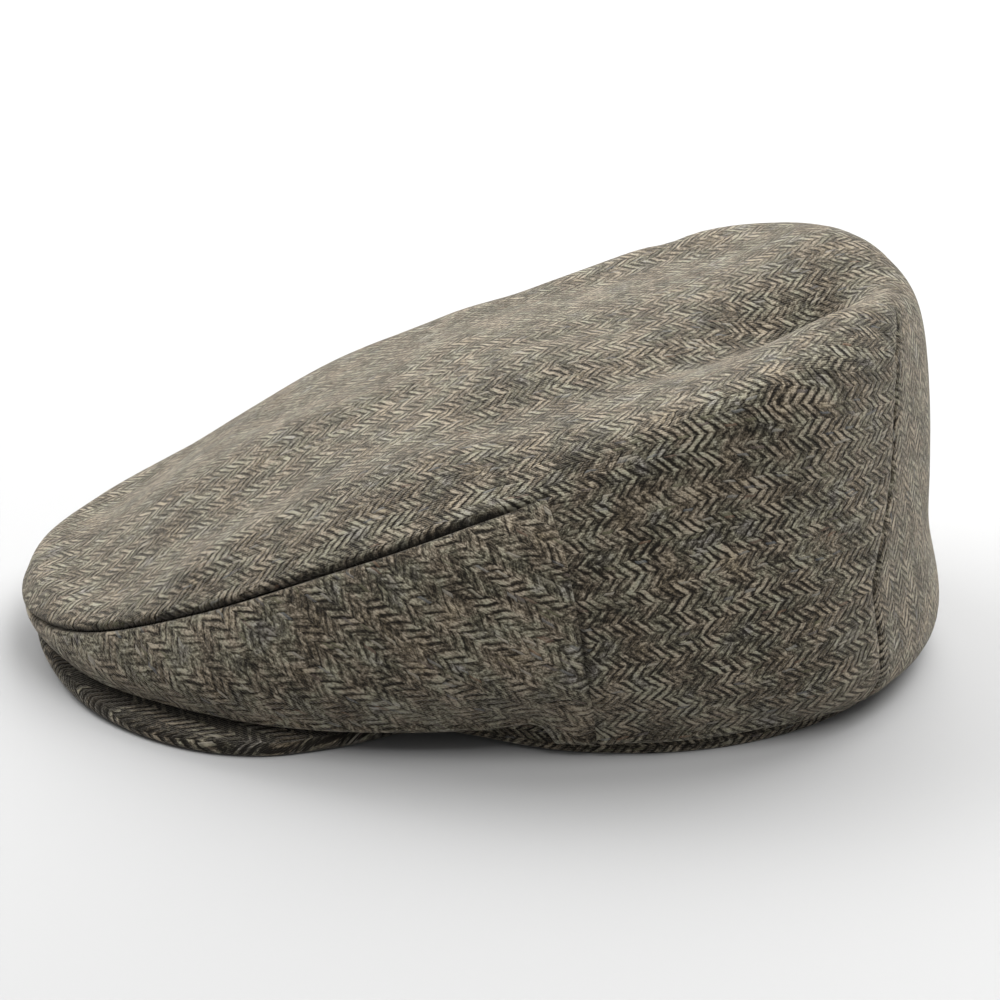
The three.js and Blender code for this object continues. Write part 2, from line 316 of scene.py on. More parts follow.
def grid_normals(points):
    """Outward directions of the cloth at the points of the grid."""
    around = np.roll(points, -1, 0) - np.roll(points, 1, 0)
    up = np.gradient(points, axis=1)
    normal = np.cross(around, up)
    normal[:, -1] = (0, 0, 1)
    return normal / np.linalg.norm(normal, axis=-1, keepdims=True)


normals = grid_normals(grid)


def column_of(turn):
    return int(np.argmin(np.abs(columns - turn)))


def distance_to_line(points, line):
    """Distance from each point to a line of close points."""
    best = np.full(points.shape[:-1], np.inf)
    for a, b in zip(line[:-1], line[1:]):
        run = b - a
        along = np.clip((points - a) @ run / (run @ run), 0, 1)
        best = np.minimum(best, np.linalg.norm(points - a - along[..., None] * run, axis=-1))
    return best


left_panel = slice(column_of(0), column_of(SEAM_TURN))
right_panel = slice(column_of(-SEAM_TURN), column_of(0))
dart_row = int(np.argmin(np.abs(grid_level[column_of(DART_COLUMN)] - DART_LEVEL)))
top_seam = grid[column_of(-SEAM_TURN):column_of(SEAM_TURN) + 1, LOWER_ROWS]
rear_seams = [grid[column_of(side * SEAM_TURN), :LOWER_ROWS + 1] for side in (-1, 1)]
darts = [grid[column_of(side * DART_COLUMN), :dart_row + 1] for side in (-1, 1)]
from_top_seam = distance_to_line(grid, top_seam)
from_rear_seam = np.minimum(*[distance_to_line(grid, line) for line in rear_seams])
from_dart = np.minimum(*[distance_to_line(grid, line) for line in darts])
from_hem = np.concatenate([np.zeros((len(columns), 1)),
                           np.linalg.norm(np.diff(grid, axis=1), axis=-1).cumsum(1)], 1)
# At its top each dart sends a soft crease forward over the edge of the crown.
DART_CREASE = np.array([        # x, y, z on the left
    [37.8, 119.2, 102.4],
    [38.5, 115.2, 109.3],
    [39.5, 112.1, 111.8],
    [38.7, 109.9, 113.4],
    [39.5, 104.7, 114.7],
])
turned_left = np.sign(columns)[:, None, None] * (1, 0, 0) + (0, 1, 1)
from_crease = distance_to_line(grid * turned_left, DART_CREASE)

# Slow unevenness of the cloth: a few long waves that cross each other.
WAVE_COUNT = 14
WAVE_LENGTHS = (34.0, 90.0)
WAVE_HEIGHT = 0.16
WAVE_SEED = 7
chance = np.random.default_rng(WAVE_SEED)
cloth_waves = np.zeros(grid.shape[:2])
for _ in range(WAVE_COUNT):
    direction = chance.normal(size=3)
    direction /= np.linalg.norm(direction)
    length = chance.uniform(*WAVE_LENGTHS)
    cloth_waves += WAVE_HEIGHT * np.sin(2 * np.pi * (grid @ direction / length + chance.uniform()))

cells_all = np.ones((len(columns), rows_total), bool)
crown_cells = cells_all.copy()
crown_cells[left_panel, :LOWER_ROWS] = False
crown_cells[right_panel, :LOWER_ROWS] = False

ROLL_RISE, ROLL_AT, ROLL_WIDTH = 0.6, 2.0, 2.0      # rolled edge above the side panel
TUCK_DEPTH, TUCK_WIDTH = 1.7, 0.5                   # where that edge turns in
SEAM_FADE = (100.0, 91.0)                           # the roll dies away towards its rear end
SEAM_DEPTH, SEAM_WIDTH = 0.6, 1.0                   # pressed seam behind the side panel
CREASE_DEPTH, CREASE_Z, CREASE_SPREAD = 1.7, 37.0, 12.0     # it sinks deeper halfway down
SEAM_PUFF, SEAM_PUFF_AT, SEAM_PUFF_WIDTH = 0.4, 4.2, 3.0
DART_DEPTH, DART_WIDTH, DART_FADE = 1.0, 0.65, (6.5, 9.5)    # the dart is shallower towards its top
DART_TOP_LOSS = 0.6
DART_UNEVEN, DART_WAVE = 0.45, 21.0
DART_CREASE_DEPTH, DART_CREASE_WIDTH = 0.9, 0.8
HEM_ROLL, HEM_ROLL_AT, HEM_ROLL_WIDTH = 0.45, 1.2, 1.1
PUCKER_HEIGHT, PUCKER_LENGTH, PUCKER_REACH = 0.16, 7.3, 6.0  # little gathers beside the seams
PUCKER_WANDER = 3
SAG_DEPTH, SAG_Z, SAG_SPREAD, SAG_FADE = 2.5, 39.0, 17.0, (148.0, 172.0)    # slack cloth low on the back


def seam_groove(distance, depth, width):
    return SEAM_PUFF * bell(distance - SEAM_PUFF_AT, SEAM_PUFF_WIDTH) - depth * bell(distance, width)


roll_share = 1 - ease(np.abs(columns), SEAM_FADE[1], SEAM_FADE[0])[:, None]
crease_share = bell(grid[..., 2] - CREASE_Z, CREASE_SPREAD)
rear_seam_depth = SEAM_DEPTH + CREASE_DEPTH * crease_share
puckers = PUCKER_HEIGHT * (bell(from_rear_seam, PUCKER_REACH) + bell(from_dart, PUCKER_REACH)) * np.sin(
    2 * np.pi * grid[..., 2] / PUCKER_LENGTH + PUCKER_WANDER * cloth_waves)
sag = SAG_DEPTH * bell(grid[..., 2] - SAG_Z, SAG_SPREAD) * ease(np.abs(columns), *SAG_FADE)[:, None]
seams_lift = (cloth_waves + puckers - sag + seam_groove(from_rear_seam, rear_seam_depth, SEAM_WIDTH)
              - roll_share * TUCK_DEPTH * bell(from_top_seam, TUCK_WIDTH)
              + HEM_ROLL * bell(from_hem - HEM_ROLL_AT, HEM_ROLL_WIDTH))
dart_depth = DART_DEPTH * (1 - DART_TOP_LOSS * ease(grid_level, *DART_FADE)) * (
    1 + DART_UNEVEN * np.sin(2 * np.pi * grid[..., 2] / DART_WAVE))
crown_lift = (seams_lift + roll_share * ROLL_RISE * bell(from_top_seam - ROLL_AT, ROLL_WIDTH)
              + seam_groove(from_dart, dart_depth, DART_WIDTH)
              - DART_CREASE_DEPTH * bell(from_crease, DART_CREASE_WIDTH))

# Painted shade: the wool is darkened along the seams, where the creases lie in shadow.
TOP_SEAM_SHADE, TOP_SEAM_SHADE_WIDTH = 0.85, 0.8
TOP_SEAM_UNEVEN = 0.3           # its dark line swells and thins
TOP_SEAM_WAVES = (13.0, 7.6)
REAR_SEAM_SHADE, REAR_SEAM_SHADE_WIDTH = 0.6, 1.2
DART_SHADE, DART_SHADE_WIDTH = 0.55, 0.6
seam_swell = sum(np.sin(2 * np.pi * grid[..., 1] / wave) for wave in TOP_SEAM_WAVES)
top_seam_width = TOP_SEAM_SHADE_WIDTH * (1 + TOP_SEAM_UNEVEN * seam_swell)
painted_seam_shade = np.maximum.reduce([
    roll_share * TOP_SEAM_SHADE * bell(from_top_seam, top_seam_width),
    REAR_SEAM_SHADE * bell(from_rear_seam, REAR_SEAM_SHADE_WIDTH) * crease_share,
    DART_SHADE * bell(from_dart, DART_SHADE_WIDTH) * dart_depth / DART_DEPTH,
    DART_SHADE * bell(from_crease, DART_SHADE_WIDTH),
])

LAY_TOLERANCE = 1e-9


def lay_cloth(corner_ids, corners, warp, weft):
    """Cloth coordinates along warp and weft: steps along the cells' sides match the grain in the mean."""
    count = corner_ids.max() + 1
    here, there = corner_ids.ravel(), np.roll(corner_ids, -1, 1).ravel()
    sides = np.roll(corners, -1, 1) - corners
    diagonals = corners[:, 2:] - corners[:, :2]
    area = np.linalg.norm(np.cross(diagonals[:, 0], diagonals[:, 1]), axis=-1) / 2
    hold = area[:, None] / np.maximum((sides ** 2).sum(-1), LAY_TOLERANCE)
    hold = np.where(here == there, 0, hold.ravel())
    wanted = np.stack([np.einsum("fsk,fk->fs", sides, grain).ravel() for grain in (warp, weft)])
    weight = np.bincount(here, hold, count) + np.bincount(there, hold, count)

    def gather(steps):
        pulls = [step * hold for step in steps]
        return np.stack([np.bincount(there, pull, count) - np.bincount(here, pull, count) for pull in pulls])

    laid = np.zeros((2, count))
    rest = gather(wanted)
    aim = rest / weight
    push = (rest * aim).sum(1, keepdims=True)
    smallest_push = LAY_TOLERANCE * push.min()
    while push.max() > smallest_push:
        pulled = gather(aim[:, there] - aim[:, here])
        stride = push / (aim * pulled).sum(1, keepdims=True)
        laid += stride * aim
        rest = rest - stride * pulled
        scaled = rest / weight
        new_push = (rest * scaled).sum(1, keepdims=True)
        aim = scaled + new_push / push * aim
        push = new_push
    return laid.T


SHORTEST = 1e-9


def unit(vectors):
    return vectors / np.maximum(np.linalg.norm(vectors, axis=-1, keepdims=True), SHORTEST)


def cell_corners(cells):
    """Columns and rows of the four corners of each kept cell."""
    i, j = np.nonzero(cells)
    k = (i + 1) % len(columns)
    return np.stack([i, k, k, i], 1), np.stack([j, j, j + 1, j + 1], 1)


HEM_ROUND_STEPS = 4


def cloth_wall(name, cells, lift, grain_of, cut=None, stretch=(1, 1)):
    """A closed cloth wall over the kept cells of the grid, with a rounded hem and cloth coordinates."""
    outer = grid + lift[..., None] * normals
    normal = grid_normals(outer)
    inner = outer - CLOTH * normal
    at_i, at_j = cell_corners(cells)
    ids = np.arange(grid.shape[0] * grid.shape[1]).reshape(grid.shape[:2])
    ids[:, -1] = ids[0, -1]
    corner_ids = ids[at_i, at_j]
    cloth_ids = corner_ids if cut is None else cut(ids, at_i, at_j)
    facing = unit(normals[at_i, at_j].mean(1))
    weft = grain_of(facing, np.abs(columns[at_i]).mean(1))
    warp = np.cross(weft, facing)
    _, flat_ids = np.unique(cloth_ids, return_inverse=True)
    flat_ids = flat_ids.reshape(cloth_ids.shape)
    laid = lay_cloth(flat_ids, grid[at_i, at_j], warp, weft)[flat_ids] * MM / stretch

    points = [outer.reshape(-1, 3), inner.reshape(-1, 3)]
    inside = ids.size
    faces, coords = [], []

    def add(face_ids, face_coords):
        for face, coord in zip(face_ids.tolist(), face_coords):
            kept = [s for s in range(len(face)) if face[s] != face[s - 1]]
            if len(kept) > 2:
                faces.append([face[s] for s in kept])
                coords.extend(coord[s] for s in kept)

    add(corner_ids, laid)
    add(corner_ids[:, ::-1] + inside, laid[:, ::-1])
    kept_cells = np.pad(cells, ((0, 0), (1, 1)))
    kept_cells[:, -1] = cells[:, -1]
    neighbours = ((0, -1), (1, 0), (0, 1), (-1, 0))
    cell_i, cell_j = at_i[:, 0], at_j[:, 0]
    hem_out = unit(outer[:, 0] - outer[:, 1]) * CLOTH / 2
    turns = np.linspace(0, np.pi, HEM_ROUND_STEPS + 1)[1:-1]
    hem_middle = (outer[:, 0] + inner[:, 0]) / 2
    hem_half = (outer[:, 0] - inner[:, 0]) / 2
    points += [hem_middle + math.cos(t) * hem_half + math.sin(t) * hem_out for t in turns]
    ring_starts = 2 * ids.size + np.arange(len(turns)) * len(columns)
    at_hem = cell_j == 0
    for side, (step_i, step_j) in enumerate(neighbours):
        edge = ~kept_cells[(cell_i + step_i) % len(columns), cell_j + step_j + 1]
        start, end = side, (side + 1) % 4
        for rounded in (False, True):
            part = edge & ((at_hem & (side == 0)) == rounded)
            from_id, to_id = corner_ids[part, start], corner_ids[part, end]
            from_uv, to_uv = laid[part, start], laid[part, end]
            lines = [(from_id, to_id), (from_id + inside, to_id + inside)]
            if rounded:
                lines[1:1] = [(ring + at_i[part, start], ring + at_i[part, end]) for ring in ring_starts]
            for (near_from, near_to), (far_from, far_to) in zip(lines, lines[1:]):
                add(np.stack([near_to, near_from, far_from, far_to], 1),
                    np.stack([to_uv, from_uv, from_uv, to_uv], 1))
        if step_i:
            hem_end = edge & at_hem
            corner = start if step_i > 0 else end
            outer_id, column = corner_ids[hem_end, corner], at_i[hem_end, corner]
            cap = np.stack([outer_id + inside, outer_id, *(ring + column for ring in ring_starts)], 1)
            add(cap[:, ::step_i], np.repeat(laid[hem_end, corner][:, None], cap.shape[1], 1))
    shades = np.concatenate([painted_seam_shade.ravel(), painted_seam_shade.ravel(), np.tile(painted_seam_shade[:, 0], len(turns))])
    return cloth_piece(name, np.concatenate(points), faces, coords, shades)


SHARP_ANGLE = math.radians(55)


def cloth_piece(name, points, faces, coords, shades=None):
    """A smooth mesh object in metres, without loose points, with cloth coordinates in its UV map."""
    used, numbered = np.unique(np.concatenate([np.array(f) for f in faces]), return_inverse=True)
    splits = np.cumsum([len(f) for f in faces])[:-1]
    mesh = bpy.data.meshes.new(name)
    mesh.from_pydata((points[used] * MM).tolist(), [], [f.tolist() for f in np.split(numbered, splits)])
    cloth_map = mesh.uv_layers.new(name="cloth")
    cloth_map.data.foreach_set("uv", np.array(coords, np.float32).ravel())
    # The painted shade of the seams is kept on the points.
    if shades is not None:
        shade_at = mesh.attributes.new("painted_seam_shade", "FLOAT", "POINT")
        shade_at.data.foreach_set("value", shades[used].astype(np.float32))
    mesh.shade_smooth()
    mesh.set_sharp_from_angle(angle=SHARP_ANGLE)
    piece = bpy.data.objects.new(name, mesh)
    bpy.context.scene.collection.objects.link(piece)
    return piece


CROWN_SLOPE = math.radians(9)
along_slope = np.array([0, math.cos(CROWN_SLOPE), math.sin(CROWN_SLOPE)])


def crown_weft(facing, turn):
    """Across the cap on the top and up its sides; the back hangs straight down."""
    across = np.cross(facing, along_slope)
    straight = facing * facing[:, :1] - np.array([1.0, 0, 0])
    return unit(np.where((turn >= DART_COLUMN)[:, None], straight, across))


def cut_at_darts(ids, at_i, at_j):
    """The cloth is slit at the darts, so the back has its own coordinates along them."""
    turn = columns[at_i]
    middle = (np.abs(turn[:, 0]) + np.abs(turn[:, 1])) / 2
    on_dart = np.isclose(np.abs(turn), DART_COLUMN) & (at_j < dart_row)
    return ids[at_i, at_j] + ids.size * (on_dart & (middle > DART_COLUMN)[:, None])


# The tweed is a broken twill: six warp ends lean one way and six the other, each over two picks and
# under two. Pale warp and dark weft of mixed grey, olive, brown and blue wool draw uneven slanting lines.
WARP_PITCH = 0.00068
WEFT_PITCH = 0.00072
STRIPE_ENDS = 6.0
TWILL_PICKS = 4.0
BREAK_PICKS = 1.0               # the lines miss each other by this much where the lean turns
LINE_SHARPNESS = 2.2            # dark lines are narrower than the pale ones between them
PULLED_DRIFT = 4.2              # yarns that the lines wander in cloth that was pulled to shape
DRIFT_SCALE = 130.0             # noises in the cloth, by the metre
CLUMP_SCALE = 480.0
SPECK_SCALE = 1350.0
PATCH_SCALE = 95.0
CLOUD_SCALE = 130.0
BARE_SCALE = 85.0
FUZZ_SCALE = 2600.0
BARE_BETWEEN = (0.38, 0.62)     # values of its noise between which the nap wears off
FIBRE_SLOW, FIBRE_FINE = 0.3, 4.5       # the fibres' noise along a line and across it
NAPPED_SHOW, BARE_SHOW = 0.3, 0.4       # how far the lines show through nap, and how much more without it
WEAK_LINE, STRONG_LINE = 0.35, 1.3      # the weakest line, and how much more the strongest has
LINE_MIDDLE = 0.66
NOISE_MIDDLE = 0.5
FIBRE_TONE, CLUMP_TONE, SPECK_TONE, CLOUD_TONE, FLOAT_TONE = 1.25, 1.2, 1.5, 0.95, 0.3
WOOL_TONES = (                  # from the darkest yarn to the palest
    (0.06, (0.01, 0.008, 0.006)),
    (0.3, (0.034, 0.029, 0.022)),
    (0.5, (0.085, 0.074, 0.058)),
    (0.7, (0.17, 0.15, 0.12)),
    (0.98, (0.36, 0.33, 0.275)),
)
DYES = (                        # blue grey, olive, brown and tan
    (0.3, (0.95, 0.98, 1.08)),
    (0.43, (0.97, 1.01, 0.9)),
    (0.55, (1.05, 0.98, 0.9)),
    (0.7, (1.09, 1.0, 0.84)),
)
FLECKS = (                      # rust, blue grey, cream and olive
    (0.0, (0.17, 0.1, 0.06)),
    (0.3, (0.1, 0.115, 0.13)),
    (0.6, (0.42, 0.38, 0.31)),
    (0.9, (0.13, 0.125, 0.075)),
)
FLECK_CHANCE, FLECK_SHARE = 0.04, 0.6
# Colours of painted shade: along the seams, and in the gathers by the darts.
SEAM_SHADOW_COLOUR = (0.008, 0.007, 0.006, 1)
GATHER_SHADOW_COLOUR = (0.012, 0.01, 0.008, 1)
GATHER_REACH = (0.0045, 0.0045, 0.0032)
GATHER_FADE = (1.0, 0.6)
GATHER_DASH = (0.1, 0.7)
GATHER_SHARE = 0.8
LINE_RELIEF, RIB_RELIEF, FIBRE_RELIEF, FUZZ_RELIEF = 0.6, 0.3, 0.5, 0.6
RELIEF_DEPTH = 0.0005
WOOL_FINISH = {
    "Roughness": 0.95,
    "Specular IOR Level": 0.2,
    "Sheen Weight": 0.42,
    "Sheen Roughness": 0.4,
    "Sheen Tint": (0.85, 0.78, 0.66, 1),
}


def tweed(name, ground, contrast, lean, gathers=(), drift_yarns=PULLED_DRIFT):
    """Tweed material: ground is its middle tone, contrast parts its pale lines from its dark ones, lean
    makes the lines of every other stripe stronger than the rest as painted light, gathers are pinched
    spots of painted shade with the pitch of their dashes, and drift_yarns is how far the lines wander."""
    material = bpy.data.materials.new(name)
    material.use_nodes = True
    tree = material.node_tree
    shader = tree.nodes["Principled BSDF"]

    def add(kind, inputs, output=0, **settings):
        made = tree.nodes.new(kind)
        for key, value in settings.items():
            setattr(made, key, value)
        for key, value in inputs.items():
            if isinstance(value, bpy.types.NodeSocket):
                tree.links.new(value, made.inputs[key])
            else:
                made.inputs[key].default_value = value
        return made.outputs[output]

    def calc(operation, *values):
        return add("ShaderNodeMath", dict(enumerate(values)), operation=operation)

    def join(x, y, z):
        return add("ShaderNodeCombineXYZ", {0: x, 1: y, 2: z})

    def chance_of(x, y, seed):
        return add("ShaderNodeTexWhiteNoise", {0: join(x, y, seed)}, noise_dimensions="3D")

    def noise(vector, scale, detail, output=0, roughness=0.5):
        return add("ShaderNodeTexNoise",
                   {"Vector": vector, "Scale": scale, "Detail": detail, "Roughness": roughness}, output)

    def stretch(value, low, high):
        return add("ShaderNodeMapRange", {0: value, 1: low, 2: high}, interpolation_type="SMOOTHSTEP")

    def ramp(value, stops):
        made = tree.nodes.new("ShaderNodeValToRGB")
        tree.links.new(value, made.inputs[0])
        while len(made.color_ramp.elements) < len(stops):
            made.color_ramp.elements.new(1.0)
        for element, (place, colour) in zip(made.color_ramp.elements, stops):
            element.position = place
            element.color = (*colour, 1)
        return made.outputs[0]

    def mixed(factor, a, b, blend="MIX"):
        return add("ShaderNodeMix", {0: factor, 6: a, 7: b}, 2, data_type="RGBA", blend_type=blend)

    def split(colour):
        made = tree.nodes.new("ShaderNodeSeparateColor")
        tree.links.new(colour, made.inputs[0])
        return made.outputs

    def round_over(value):
        centred = calc("MULTIPLY_ADD", calc("FRACT", value), 2.0, -1.0)
        return calc("SUBTRACT", 1.0, calc("MULTIPLY", centred, centred))

    # Places counted in yarns, with the drift of a cloth that was pulled to shape.
    cloth = add("ShaderNodeUVMap", {}, uv_map="cloth")
    place = tree.nodes.new("ShaderNodeSeparateXYZ")
    tree.links.new(cloth, place.inputs[0])
    drift = split(noise(cloth, DRIFT_SCALE, detail=4.0, output=1))

    def counted(socket, pitch, channel):
        return calc("MULTIPLY_ADD", drift[channel], drift_yarns, calc("DIVIDE", socket, pitch))

    along = counted(place.outputs[0], WEFT_PITCH, 0)
    across = counted(place.outputs[1], WARP_PITCH, 1)

    # Slanting lines, turned about in every other stripe.
    stripe = calc("FLOOR", calc("DIVIDE", across, STRIPE_ENDS))
    turned = calc("FLOORED_MODULO", stripe, 2.0)
    forth = calc("FLOORED_MODULO", across, STRIPE_ENDS)
    back = calc("SUBTRACT", STRIPE_ENDS + BREAK_PICKS, forth)
    slant = calc("MULTIPLY_ADD", turned, calc("SUBTRACT", back, forth), forth)
    twill = calc("DIVIDE", calc("ADD", along, slant), TWILL_PICKS)
    line = calc("FLOOR", twill)
    swing = calc("COSINE", calc("MULTIPLY", twill, 2 * math.pi))
    gap = calc("POWER", calc("MULTIPLY_ADD", swing, 0.5, 0.5), LINE_SHARPNESS)
    raised = calc("SUBTRACT", 1.0, gap)

    # Each line is a row of floats, loose fibres lie along it, and the nap hides it except in bare patches.
    end = calc("FLOOR", across)
    rib = round_over(across)
    float_chance = chance_of(end, line, seed=5.0)
    fibre_place = join(calc("MULTIPLY", across, FIBRE_SLOW), calc("MULTIPLY", twill, FIBRE_FINE), stripe)
    fibres = noise(fibre_place, 1.0, detail=3.0, roughness=0.6)
    clumps = noise(cloth, CLUMP_SCALE, detail=3.0, roughness=0.6)
    specks = noise(cloth, SPECK_SCALE, detail=2.0, roughness=0.7)
    patches = noise(cloth, PATCH_SCALE, detail=4.0, roughness=0.6)
    clouds = split(noise(cloth, CLOUD_SCALE, detail=3.0, output=1, roughness=0.6))[1]
    bare = stretch(noise(cloth, BARE_SCALE, detail=4.0), *BARE_BETWEEN)
    strong = chance_of(stripe, line, seed=11.0)
    pale_share = calc("MULTIPLY", calc("MULTIPLY_ADD", bare, BARE_SHOW * contrast, NAPPED_SHOW * contrast),
                      calc("MULTIPLY_ADD", strong, STRONG_LINE, WEAK_LINE))
    # Painted light: the lines of every other stripe are drawn stronger, as the light picks out one lean of
    # the twill.
    pale_share = calc("MULTIPLY", pale_share, calc("MULTIPLY_ADD", turned, -2.0 * lean, 1.0 + lean))
    tone = calc("MULTIPLY", calc("SUBTRACT", raised, LINE_MIDDLE), pale_share)
    tone_parts = (
        (fibres, FIBRE_TONE),
        (clumps, CLUMP_TONE),
        (specks, SPECK_TONE),
        (clouds, CLOUD_TONE),
        (float_chance, FLOAT_TONE),
    )
    for part, share in tone_parts:
        tone = calc("MULTIPLY_ADD", calc("SUBTRACT", part, NOISE_MIDDLE), share, tone)
    wool = ramp(calc("ADD", tone, ground), WOOL_TONES)
    wool = mixed(1.0, wool, ramp(patches, DYES), "MULTIPLY")
    flecked = calc("GREATER_THAN", chance_of(end, line, seed=23.0), 1 - FLECK_CHANCE)
    fleck = ramp(chance_of(end, line, seed=31.0), FLECKS)
    wool = mixed(calc("MULTIPLY", flecked, FLECK_SHARE), wool, fleck)

    # Painted shade along the seams, and dashes of painted shade where a seam pinches the cloth into gathers:
    # a few short dashes one above the other, on both sides alike.
    deep = add("ShaderNodeAttribute", {}, 2, attribute_name="painted_seam_shade")
    wool = mixed(deep, wool, SEAM_SHADOW_COLOUR)
    for centre, pitch in gathers:
        spot = add("ShaderNodeVectorMath", {0: add("ShaderNodeTexCoord", {}, 3)}, operation="ABSOLUTE")
        away = add("ShaderNodeVectorMath", {0: spot, 1: centre}, operation="SUBTRACT")
        scaled = add("ShaderNodeVectorMath", {0: away, 1: GATHER_REACH}, operation="DIVIDE")
        near = stretch(add("ShaderNodeVectorMath", {0: scaled}, 1, operation="LENGTH"), *GATHER_FADE)
        rise = tree.nodes.new("ShaderNodeSeparateXYZ")
        tree.links.new(away, rise.inputs[0])
        wave = calc("COSINE", calc("MULTIPLY", rise.outputs[2], 2 * math.pi / pitch))
        pinched = calc("MULTIPLY", near, stretch(wave, *GATHER_DASH))
        wool = mixed(calc("MULTIPLY", pinched, GATHER_SHARE), wool, GATHER_SHADOW_COLOUR)
    fuzz = noise(cloth, FUZZ_SCALE, detail=2.0)
    relief = calc("MULTIPLY_ADD", raised, LINE_RELIEF, calc("MULTIPLY", rib, RIB_RELIEF))
    relief = calc("MULTIPLY_ADD", fuzz, FUZZ_RELIEF, calc("MULTIPLY_ADD", fibres, FIBRE_RELIEF, relief))
    bump = add("ShaderNodeBump", {"Strength": 1.0, "Distance": RELIEF_DEPTH, "Height": relief})
    tree.links.new(wool, shader.inputs["Base Color"])
    tree.links.new(bump, shader.inputs["Normal"])
    for key, value in WOOL_FINISH.items():
        shader.inputs[key].default_value = value
    return material


# Gathers by the darts, drawn as dashes of painted shade.
DART_GATHERS = (                # place on the left, pitch of the dashes
    ((0.0638, 0.1135, 0.0493), 0.00175),
    ((0.0667, 0.1165, 0.02), 0.0024),
)
crown_tweed = tweed("crown_tweed", ground=0.5, contrast=1.08, lean=0.18, gathers=DART_GATHERS)
crown = cloth_wall("crown_cloth", crown_cells, crown_lift, crown_weft, cut_at_darts)
crown.data.materials.append(crown_tweed)
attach(crown, "root")
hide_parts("crown")

# Side panels
# A shaped panel of the same tweed, cut on the bias, fills each front quarter from the middle of the
# front to behind the temple. It is sewn under the rolled edge of the crown and turned under at its hem.
PANEL_TUCK, PANEL_TUCK_WIDTH = 1.3, 1.2
PANEL_GRAIN = math.radians(-28)
PANEL_STRETCH = (1.25, 1.06)    # pulled, mostly along its warp
panel_lift = seams_lift - roll_share * PANEL_TUCK * bell(from_top_seam, PANEL_TUCK_WIDTH)


def panel_weft(facing, turn):
    """At one angle to the hem all the way round, and mirrored on the other side."""
    around = unit(np.cross((0, 0, 1), facing)) * np.sign(facing[:, :1])
    up = np.cross(facing, around) * np.sign(facing[:, :1])
    warp = math.cos(PANEL_GRAIN) * around + math.sin(PANEL_GRAIN) * up
    return np.cross(facing, warp)


# Painted light: the panel's ground is a little paler than the crown's, making up for the shade the panel
# gets.
panel_tweed = tweed("panel_tweed", ground=0.54, contrast=0.75, lean=-0.18)
for side_name, panel_columns in (("left", left_panel), ("right", right_panel)):
    panel_cells = ~cells_all
    panel_cells[panel_columns, :LOWER_ROWS] = True
    panel_name = "side_panel_cloth_" + side_name
    panel = cloth_wall(panel_name, panel_cells, panel_lift, panel_weft, stretch=PANEL_STRETCH)
    panel.data.materials.append(panel_tweed)
    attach(panel, "root")
    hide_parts("side_panel_" + side_name)

# Peak
# A stiff board between two layers of tweed, sewn round its outer edge and set under the front of the
# crown. The cloth is pulled tight over it, so it stays smooth.
PEAK_THICKNESS = 4.2
PEAK_ROOT_Z = 2.0
PEAK_ROOT_OUT = 2.3
PEAK_SECTIONS = np.array([      # turn, distance of the edge, height of its underside
    [0, 137, 1.5],
    [15, 134, 1],
    [30, 129.5, 0.4],
    [45, 120.5, 0],
    [55, 110, 0],
    [63, 97, 0.4],
    [74, 80.5, 0.6],
])
PEAK_COLUMNS = 220
PEAK_FLAT_ROWS = 26
PEAK_EDGE_ROWS = 10
PEAK_GRAIN = math.radians(35)
PEAK_STRETCH = 1.3              # the cloth is pulled tight
PEAK_DRIFT = 1.8
peak_edge_r = smooth_column(PEAK_SECTIONS, 1)
peak_edge_z = smooth_column(PEAK_SECTIONS, 2)
peak_turns = np.linspace(-PEAK_SECTIONS[-1, 0], PEAK_SECTIONS[-1, 0], PEAK_COLUMNS + 1)[:, None]
flat_shares = np.linspace(0, 1, PEAK_FLAT_ROWS + 1)
edge_angles = np.linspace(-np.pi / 2, np.pi / 2, PEAK_EDGE_ROWS + 1)[1:-1]
half_thick = PEAK_THICKNESS / 2
root_r = oval_radius(peak_turns, PEAK_ROOT_OUT)
edge_r = peak_edge_r(peak_turns) - half_thick
flat_zeros = np.zeros(len(flat_shares))
peak_shares = np.concatenate([flat_shares, np.ones(len(edge_angles)), flat_shares[::-1]])
bulge = np.concatenate([flat_zeros, half_thick * np.cos(edge_angles), flat_zeros])
height = np.concatenate([flat_zeros, half_thick * (1 + np.sin(edge_angles)), PEAK_THICKNESS + flat_zeros])
peak_r = root_r + (edge_r - root_r) * peak_shares + bulge
peak_z = PEAK_ROOT_Z + (peak_edge_z(peak_turns) - PEAK_ROOT_Z) * peak_shares + height
peak_points = on_turn(peak_turns, peak_r, peak_z)
loop = peak_points.shape[1]
peak_ids = np.arange(peak_points.shape[0] * loop).reshape(-1, loop)
next_ids = np.roll(peak_ids, -1, 1)
peak_quads = np.stack([peak_ids[:-1], peak_ids[1:], next_ids[1:], next_ids[:-1]], -1).reshape(-1, 4)
edge_wrap = half_thick * (edge_angles + np.pi / 2) - half_thick * np.cos(edge_angles)
around_edge = np.concatenate([flat_zeros, edge_wrap, half_thick * np.pi + flat_zeros])
peak_flat = on_turn(peak_turns, peak_r + around_edge, 0 * peak_z)
cosine, sine = math.cos(PEAK_GRAIN), math.sin(PEAK_GRAIN)
peak_along = cosine * peak_flat[..., 1] + sine * peak_flat[..., 0]
peak_across = cosine * peak_flat[..., 0] - sine * peak_flat[..., 1]
peak_coords = np.stack([peak_along, peak_across], -1).reshape(-1, 2) * MM / PEAK_STRETCH
peak_ends = [peak_ids[0].tolist(), peak_ids[-1, ::-1].tolist()]
peak_faces = peak_quads.tolist() + peak_ends
peak_face_coords = [peak_coords[v] for face in peak_faces for v in face]
peak = cloth_piece("peak_cloth", peak_points.reshape(-1, 3), peak_faces, peak_face_coords)
# Painted shade: the peak's tweed is set far darker than the crown's, partly for the shade it lies in under
# the crown.
shaded_peak_tweed = tweed("shaded_peak_tweed", ground=0.03, contrast=2.4, lean=0.2, drift_yarns=PEAK_DRIFT)
peak.data.materials.append(shaded_peak_tweed)
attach(peak, "root")
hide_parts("peak")

